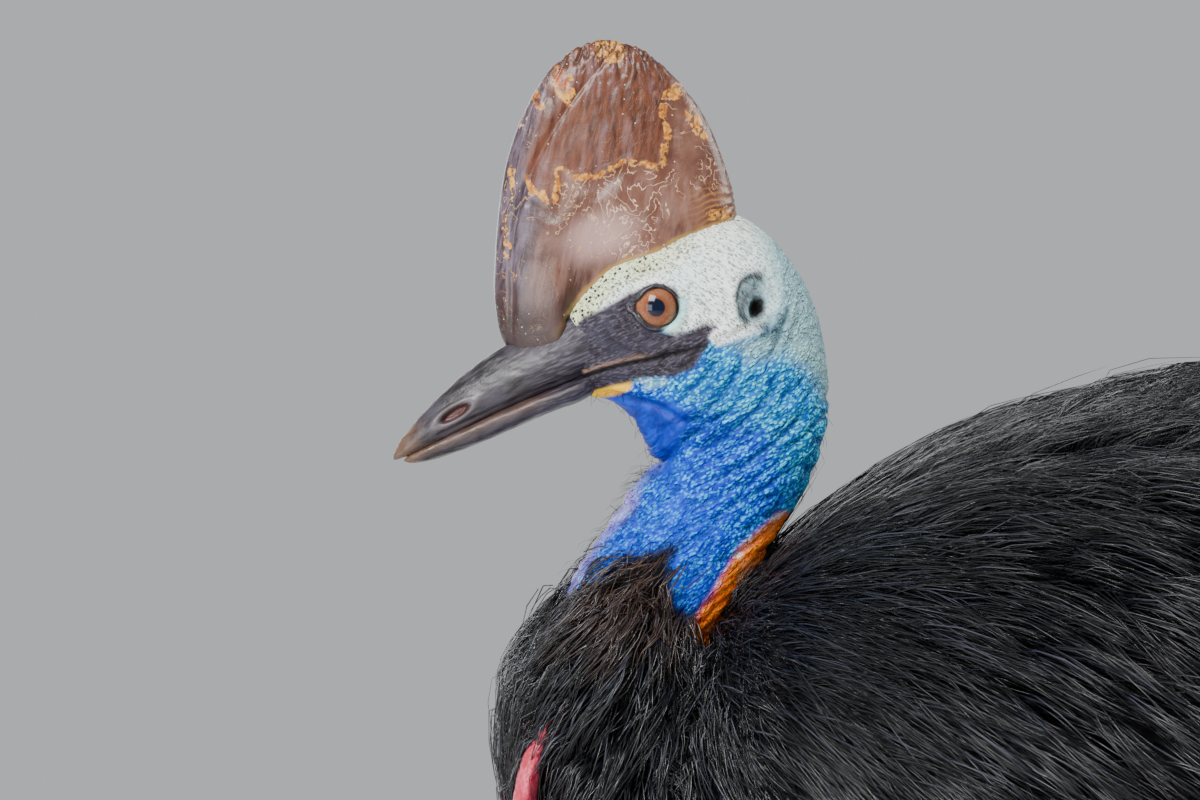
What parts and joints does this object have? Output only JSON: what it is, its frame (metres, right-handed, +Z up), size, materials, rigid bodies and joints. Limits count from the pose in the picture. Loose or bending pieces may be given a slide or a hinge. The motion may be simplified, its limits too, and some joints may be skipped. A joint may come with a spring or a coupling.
{
  "type": "cassowary",
  "caption": "Life-size still model of a cassowary standing with its neck drawn back: casque, bill, blue neck, red wattles, shaggy black plumage, wing quills and scaled three-toed feet.",
  "frame": {"origin": "on the floor, under the middle of the bird's length and width", "axes": "+Z up, the bird faces -Y, its left side is +X"},
  "size_m": [0.4822, 0.957, 1.1635],
  "materials": {
    "casque_horn": "smooth brown horn, glossy at the base",
    "head_skin": "chalky pale blue skin with fine dark bristles",
    "neck_skin": "pebbled bright blue skin, orange at the nape",
    "bill_horn": "dark grey horn with a soft sheen",
    "eye": "wet and glossy",
    "wattle_skin": "soft folded red skin",
    "plumage": "coarse glossy black hair-like feathers",
    "leg_scales": "grey-brown horny scales",
    "claw_horn": "dark worn horn"
  },
  "bodies": {
    "root": {"casque": "casque_horn", "head": "head_skin", "neck_upper": "neck_skin", "bill_upper": "bill_horn", "bill_lower": "bill_horn", "eye_left": "eye", "eye_right": "eye", "wattle_left": "wattle_skin", "wattle_right": "wattle_skin", "torso": "plumage", "neck_lower": "plumage", "tail": "plumage", "thigh_left": "plumage", "thigh_right": "plumage", "wing_left": "plumage", "wing_right": "plumage", "shank_left": "leg_scales", "shank_right": "leg_scales", "toe_middle_left": "leg_scales", "toe_middle_right": "leg_scales", "toe_inner_left": "leg_scales", "toe_inner_right": "leg_scales", "toe_outer_left": "leg_scales", "toe_outer_right": "leg_scales", "claw_middle_left": "claw_horn", "claw_middle_right": "claw_horn", "claw_inner_left": "claw_horn", "claw_inner_right": "claw_horn", "claw_outer_left": "claw_horn", "claw_outer_right": "claw_horn"}
  },
  "joints": []
}
